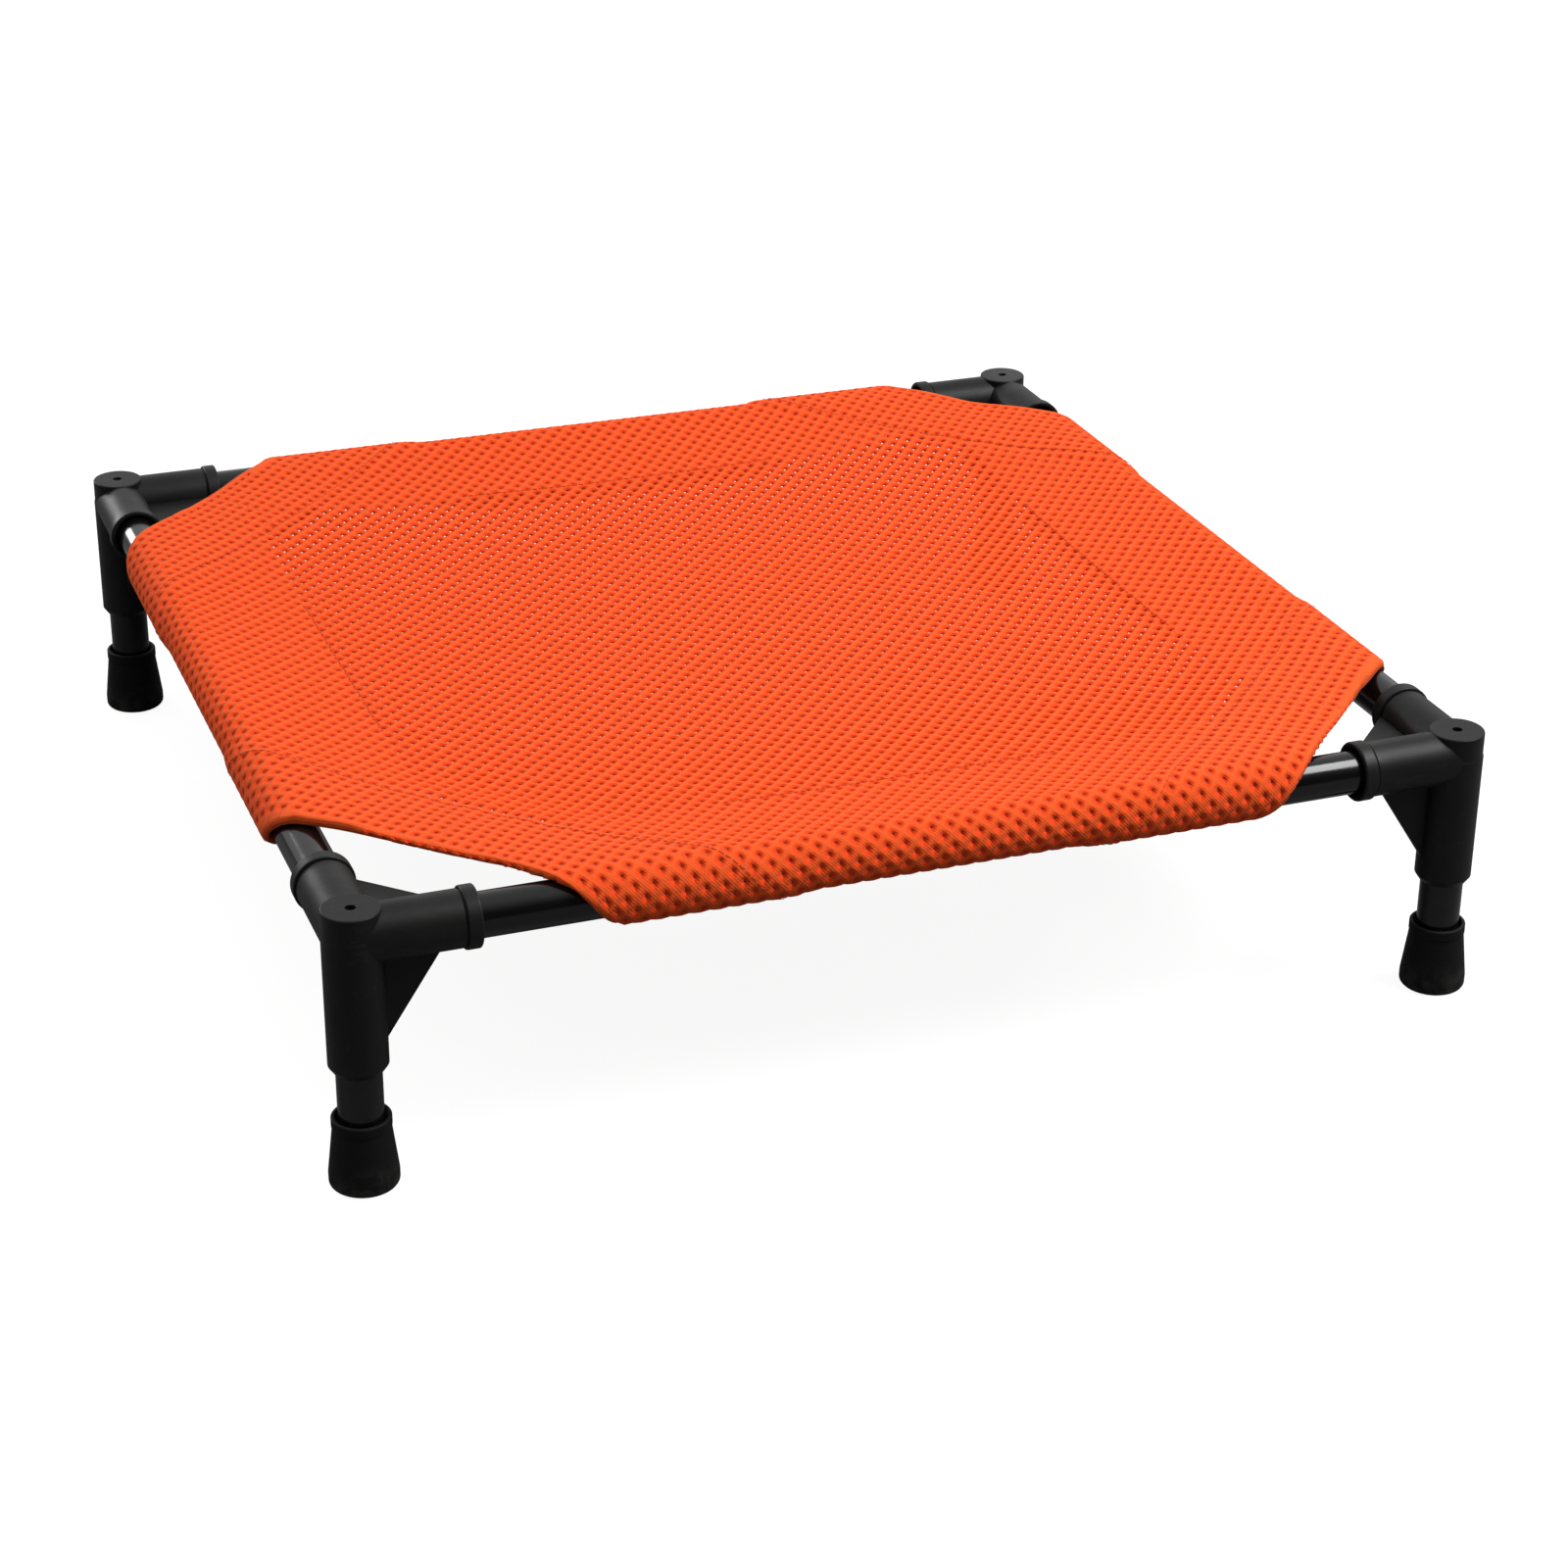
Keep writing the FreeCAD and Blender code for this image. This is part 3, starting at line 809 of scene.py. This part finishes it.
def thread_finish(sizes):
    """Twisted sewing thread, a shade deeper than the cloth."""
    finish, tree, shader = new_finish("seam thread", Specular_IOR_Level=0.2)
    place = here(tree)
    yarn = use_group(tree, "Knitted yarn", {"Vector": place, "Loops per metre": 2600.0})
    # Painted shade: the thread's twist is drawn darker in its low places.
    colours = blend_colours(tree, yarn["Painted shade"], shade(sizes.thread, 0.75), shade(sizes.thread, 1.1))
    tree.links.new(colours, shader.inputs["Base Color"])
    tree.links.new(spread(tree, yarn["Painted shade"], 0.0, 1.0, 0.75, 0.5), shader.inputs["Roughness"])
    bump(tree, shader, yarn["Height"], 0.0002, 0.6)
    return finish


def moulded_finish(sizes):
    """Satin black moulding with a fine grain and touch marks."""
    finish, tree, shader = new_finish("moulded connector", Specular_IOR_Level=0.18)
    place = here(tree)
    grain = use_group(tree, "Mould grain", {"Vector": place, "Grains per metre": 2400.0})
    marks = use_group(tree, "Handling marks", {"Vector": place, "Strength": sizes.rub})["Mask"]
    colours = blend_colours(tree, grain["Speckle"], rgba(sizes.plastic), shade(sizes.plastic, 1.7))
    dusty = math_node(tree, "MULTIPLY", marks, 0.035)
    tree.links.new(blend_colours(tree, dusty, colours, rgba(sizes.dust)), shader.inputs["Base Color"])
    tree.links.new(spread(tree, marks, 0.0, 0.5, 0.46, 0.36), shader.inputs["Roughness"])
    bump(tree, shader, grain["Height"], 0.00012, 0.5)
    return finish


def enamel_finish(sizes):
    """Gloss black tube enamel with a slight flow ripple."""
    finish, tree, shader = new_finish("tube enamel", Specular_IOR_Level=0.36)
    place = here(tree)
    marks = use_group(tree, "Handling marks", {"Vector": place, "Strength": sizes.rub})["Mask"]
    dust = use_group(tree, "Floor dust", {"Vector": place, "Reach": 0.09, "Strength": 0.02})["Mask"]
    colours = blend_colours(tree, dust, rgba(sizes.enamel), rgba(sizes.dust))
    tree.links.new(colours, shader.inputs["Base Color"])
    tree.links.new(spread(tree, marks, 0.0, 0.6, 0.13, 0.24), shader.inputs["Roughness"])
    bump(tree, shader, noise(tree, place, 210.0, 2.0), 0.00006, 0.25)
    return finish


def rubber_finish(sizes):
    """Matt black rubber, dusty towards the floor."""
    finish, tree, shader = new_finish("foot rubber", Specular_IOR_Level=0.11)
    place = here(tree)
    grain = use_group(tree, "Mould grain", {"Vector": place, "Grains per metre": 1500.0})
    dust = use_group(tree, "Floor dust", {"Vector": place, "Reach": 0.018, "Strength": 0.09})["Mask"]
    colours = blend_colours(tree, grain["Speckle"], rgba(sizes.rubber), shade(sizes.rubber, 1.5))
    tree.links.new(blend_colours(tree, dust, colours, rgba(sizes.dust)), shader.inputs["Base Color"])
    tree.links.new(spread(tree, dust, 0.0, 0.2, 0.62, 0.85), shader.inputs["Roughness"])
    bump(tree, shader, grain["Height"], 0.00016, 0.6)
    return finish


def zinc_finish(sizes):
    """Zinc-plated steel with a faint spangle."""
    finish, tree, shader = new_finish("zinc plate", Metallic=1.0)
    place = here(tree)
    spangle = add(tree, "ShaderNodeTexVoronoi", {"Vector": place, "Scale": 260.0}).outputs["Color"]
    colours = blend_colours(tree, 0.12, rgba(sizes.zinc), spangle, "OVERLAY")
    tree.links.new(colours, shader.inputs["Base Color"])
    marks = use_group(tree, "Handling marks", {"Vector": place, "Strength": 1.0})["Mask"]
    tree.links.new(spread(tree, marks, 0.0, 1.0, 0.30, 0.48), shader.inputs["Roughness"])
    return finish


def refinish(names, finish):
    """Gives CAD parts their finish."""
    for name in names:
        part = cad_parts.get(name)
        if part is None:
            raise RuntimeError(f"the frame has no part named {name}")
        part.data.materials.clear()
        part.data.materials.append(finish)


# ---------------------------------------------------------------- operators


class PETBED_OT_stage(Operator):
    """Sets out the pale floor, the soft lights and the camera"""

    bl_idname = "petbed.stage"
    bl_label = "Stage"

    SUN_PLACE, SUN_SPREAD = (-0.6, -0.9, 3.0), math.radians(75.0)
    KEY_PLACE, KEY_SIZE = (1.2, -0.70, 1.75), (1.0, 1.0)
    RIM_PLACE, RIM_SIZE = (-0.92, 1.95, 0.55), (0.4, 0.5)
    # The direction, up and to the back, from which most of the room's light comes.
    FAR_WAY = (0.05, 0.62, 0.78)

    def execute(self, context):
        stage = context.scene.petbed_stage
        self.camera(context, stage)
        self.floor(context, stage)
        self.room(context, stage)
        sun = self.light(context, "overhead_sun", "SUN", self.SUN_PLACE, stage.overhead)
        sun.data.angle = self.SUN_SPREAD
        sun.visible_glossy = False
        for name, place, power, wide, high in (
            ("key_softbox", self.KEY_PLACE, stage.key, *self.KEY_SIZE),
            ("rim_softbox", self.RIM_PLACE, stage.side, *self.RIM_SIZE),
        ):
            box = self.light(context, name, "AREA", place, power)
            box.data.shape = "RECTANGLE"
            box.data.size, box.data.size_y = wide, high
        return {"FINISHED"}

    @staticmethod
    def floor(context, stage):
        """A wide floor: pale to the camera, darker to the light it returns, and clear from below."""
        bm = bmesh.new()
        bmesh.ops.create_grid(bm, x_segments=8, y_segments=8, size=FLOOR_REACH)
        mesh = bpy.data.meshes.new("floor")
        bm.to_mesh(mesh)
        bm.free()
        floor = bpy.data.objects.new("floor", mesh)
        context.scene.collection.objects.link(floor)
        finish, tree, shader = new_finish("pale floor", Specular_IOR_Level=0.0, Roughness=0.9)
        cloud = noise(tree, here(tree), 3.0)
        tone = blend_colours(tree, cloud, rgba(stage.floor), shade(stage.floor, 0.98))
        tree.links.new(tone, shader.inputs["Base Color"])
        shader.inputs["Emission Color"].default_value = WHITE
        seen = add(tree, "ShaderNodeLightPath").outputs["Is Camera Ray"]
        glow = math_node(tree, "MULTIPLY", seen, stage.glow)
        tree.links.new(glow, shader.inputs["Emission Strength"])
        below = add(tree, "ShaderNodeNewGeometry").outputs["Backfacing"]
        clear = add(tree, "ShaderNodeBsdfTransparent").outputs[0]
        one_way = add(tree, "ShaderNodeMixShader", {0: below, 1: shader.outputs[0], 2: clear})
        tree.links.new(one_way.outputs[0], tree.nodes["Material Output"].inputs["Surface"])
        mesh.materials.append(finish)

    def room(self, context, stage):
        """A white room, lighter above and behind the bed, with an even backdrop."""
        world = bpy.data.worlds.new("soft room")
        world.use_nodes = True
        sky = world.node_tree
        background = sky.nodes["Background"]
        background.inputs["Color"].default_value = WHITE
        toward = add(sky, "ShaderNodeTexCoord").outputs["Generated"]
        facing = add(sky, "ShaderNodeVectorMath", {0: toward, 1: self.FAR_WAY}, operation="DOT_PRODUCT")
        bright = spread(sky, facing.outputs["Value"], -0.25, 0.85, stage.near_sky, stage.far_sky)
        backdrop = add(sky, "ShaderNodeLightPath").outputs["Is Camera Ray"]
        shown = add(sky, "ShaderNodeMix", {0: backdrop, 2: bright, 3: 1.0}).outputs[0]
        sky.links.new(shown, background.inputs["Strength"])
        context.scene.world = world
        context.scene.view_settings.view_transform = "Standard"

    @staticmethod
    def light(context, name, kind, place, power):
        """A light aimed at the middle of the bed."""
        data = bpy.data.lights.new(name, kind)
        data.energy = power
        lamp = bpy.data.objects.new(name, data)
        lamp.location = place
        aim = Vector((0, 0, RAIL_UP)) - lamp.location
        lamp.rotation_euler = aim.to_track_quat("-Z", "Y").to_euler()
        context.scene.collection.objects.link(lamp)
        return lamp

    @staticmethod
    def camera(context, stage):
        """The camera, to the bed's front left and above it."""
        turn, rise = stage.azimuth, stage.elevation
        flat = math.cos(rise)
        back = Vector((math.sin(turn) * flat, -math.cos(turn) * flat, math.sin(rise)))
        level = Vector((math.cos(turn), math.sin(turn), 0.0))
        upright = back.cross(level)
        right = math.cos(stage.roll) * level + math.sin(stage.roll) * upright
        up = back.cross(right)
        place = back * stage.distance + right * stage.shift_right + up * stage.shift_up
        data = bpy.data.cameras.new("camera")
        data.lens = stage.lens
        data.sensor_width = 36.0
        data.clip_end = 60.0
        made = bpy.data.objects.new("camera", data)
        pose = Matrix((right, up, back)).transposed().to_4x4()
        pose.translation = place
        made.matrix_world = pose
        context.scene.collection.objects.link(made)
        context.scene.camera = made


class PETBED_OT_connectors(Operator):
    """Finishes the four moulded corner connectors"""

    bl_idname = "petbed.connectors"
    bl_label = "Corner connectors"

    def execute(self, context):
        connectors = [f"corner_connector_{corner}" for corner in CORNERS]
        refinish(connectors, moulded_finish(context.scene.petbed_fittings))
        return {"FINISHED"}


class PETBED_OT_tubes(Operator):
    """Enamels the four rails and the four leg tubes"""

    bl_idname = "petbed.tubes"
    bl_label = "Rails and legs"

    def execute(self, context):
        tubes = list(RAILS) + [f"leg_tube_{corner}" for corner in CORNERS]
        refinish(tubes, enamel_finish(context.scene.petbed_fittings))
        return {"FINISHED"}


class PETBED_OT_feet(Operator):
    """Finishes the rubber feet and the steel washers inside them"""

    bl_idname = "petbed.feet"
    bl_label = "Feet and washers"

    def execute(self, context):
        sizes = context.scene.petbed_fittings
        refinish([f"foot_{corner}" for corner in CORNERS], rubber_finish(sizes))
        refinish([f"foot_washer_{corner}" for corner in CORNERS], zinc_finish(sizes))
        return {"FINISHED"}


class PETBED_OT_cover(Operator):
    """Knits the mesh cover's middle and its four sleeved sides and lays them on the frame"""

    bl_idname = "petbed.cover"
    bl_label = "Mesh cover"

    def execute(self, context):
        sizes = context.scene.petbed_cover
        finish = mesh_cloth_finish(sizes)
        half = sizes.middle_half

        def wanted(x, y):
            return inside_middle(x, y, sizes)

        middle = honeycomb(sizes, (-half, -half), (half, half), wanted)
        self.hand_over(middle, "cover_middle", finish, sizes)
        for side in SIDES:
            self.side(side, finish, sizes)
        return {"FINISHED"}

    def side(self, side, finish, sizes):
        """Knits one side, trims its outer edge and sets out its two corner folds and hems."""
        edge = sizes.blank_half
        across = (sizes.middle_half - SIDE_SPARE, edge + SIDE_SPARE)
        corners = [from_side(u, v, side) for u in (-SIDE_REACH, SIDE_REACH) for v in across]
        low = tuple(min(corner[k] for corner in corners) for k in (0, 1))
        high = tuple(max(corner[k] for corner in corners) for k in (0, 1))

        def wanted(x, y):
            return side_of(x, y) == side and not inside_middle(x, y, sizes)

        net = honeycomb(sizes, low, high, wanted)
        outward = Vector((*from_side(0, 1, side), 0))
        slice_net(net, outward * edge, outward, True)
        for corner, signs in CORNERS.items():
            if outward.x * signs[0] + outward.y * signs[1] > 0:
                cut_corner(net, sizes, corner)
        self.hand_over(net, f"cover_{side}", finish, sizes)

    @staticmethod
    def hand_over(net, name, finish, sizes):
        """Turns a flat net into a finished piece of the cover on the frame."""
        flat, area = cut_size(net)
        knit(net, sizes)
        piece = finished(net, name, finish)
        lay_on_frame(piece, sizes)
        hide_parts("mesh_cover")


class PETBED_OT_stitching(Operator):
    """Sews the flap seams and the corner hem seams"""

    bl_idname = "petbed.stitching"
    bl_label = "Seam stitching"

    def execute(self, context):
        sizes = context.scene.petbed_cover
        finish = thread_finish(sizes)
        off = sizes.thickness / 2 + THREAD_LIFT
        sewn_at = sizes.blank_half - FLAP_MARGIN
        flaps, hems = bmesh.new(), bmesh.new()
        for side in SIDES:
            ends = []
            for sign in (-1, 1):
                x, y = from_side(sign, 1, side)
                corner = next(name for name, signs in CORNERS.items() if signs == (x, y))
                ends.append(sign * (getattr(sizes, f"cut_{corner}") - sewn_at))
            for v in (RAIL_OUT - sizes.seam_inset - SLEEVE_MARGIN, sewn_at):
                line = [(*from_side(u, v, side), 0) for u in ends]
                stitches(flaps, line[0], line[1], sizes.stitch_pitch, off)
        under = math.pi * sizes.fold_radius + sizes.hem_width - HEM_MARGIN
        for corner, (sign_x, sign_y) in CORNERS.items():
            for past in (-sizes.hem_width + HEM_MARGIN, under):
                total = getattr(sizes, f"cut_{corner}") + past * ROOT_TWO
                near = total - sewn_at
                line = [(sign_x * near, sign_y * sewn_at, 0), (sign_x * sewn_at, sign_y * near, 0)]
                stitches(hems, line[0], line[1], sizes.stitch_pitch, off)
        for bm, name in ((flaps, "flap_stitching"), (hems, "hem_stitching")):
            piece = finished(bm, name, finish)
            lay_on_frame(piece, sizes)
        return {"FINISHED"}


class PETBED_PT_panel(Panel):
    """Makes the pet bed piece by piece"""

    bl_idname = "PETBED_PT_panel"
    bl_label = "Pet bed"
    bl_space_type = "VIEW_3D"
    bl_region_type = "UI"
    bl_category = "Pet bed"

    def draw(self, context):
        for operator in OPERATORS:
            self.layout.operator(operator.bl_idname)
        for holder in GROUPS:
            group = getattr(context.scene, holder)
            box = self.layout.box()
            for name in group.bl_rna.properties.keys():
                if name not in ("rna_type", "name"):
                    box.prop(group, name)


OPERATORS = (
    PETBED_OT_stage,
    PETBED_OT_connectors,
    PETBED_OT_tubes,
    PETBED_OT_feet,
    PETBED_OT_cover,
    PETBED_OT_stitching,
)
GROUPS = {
    "petbed_cover": PETBED_PG_cover,
    "petbed_fittings": PETBED_PG_fittings,
    "petbed_stage": PETBED_PG_stage,
}
CLASSES = (*GROUPS.values(), *OPERATORS, PETBED_PT_panel)


def register():
    for made in CLASSES:
        bpy.utils.register_class(made)
    for name, group in GROUPS.items():
        setattr(bpy.types.Scene, name, PointerProperty(type=group))


def unregister():
    for name in GROUPS:
        delattr(bpy.types.Scene, name)
    for made in reversed(CLASSES):
        bpy.utils.unregister_class(made)


def main():
    register()
    bpy.ops.petbed.stage()
    bpy.ops.petbed.connectors()
    bpy.ops.petbed.tubes()
    bpy.ops.petbed.feet()
    bpy.ops.petbed.cover()
    bpy.ops.petbed.stitching()


if __name__ == "__main__":
    main()
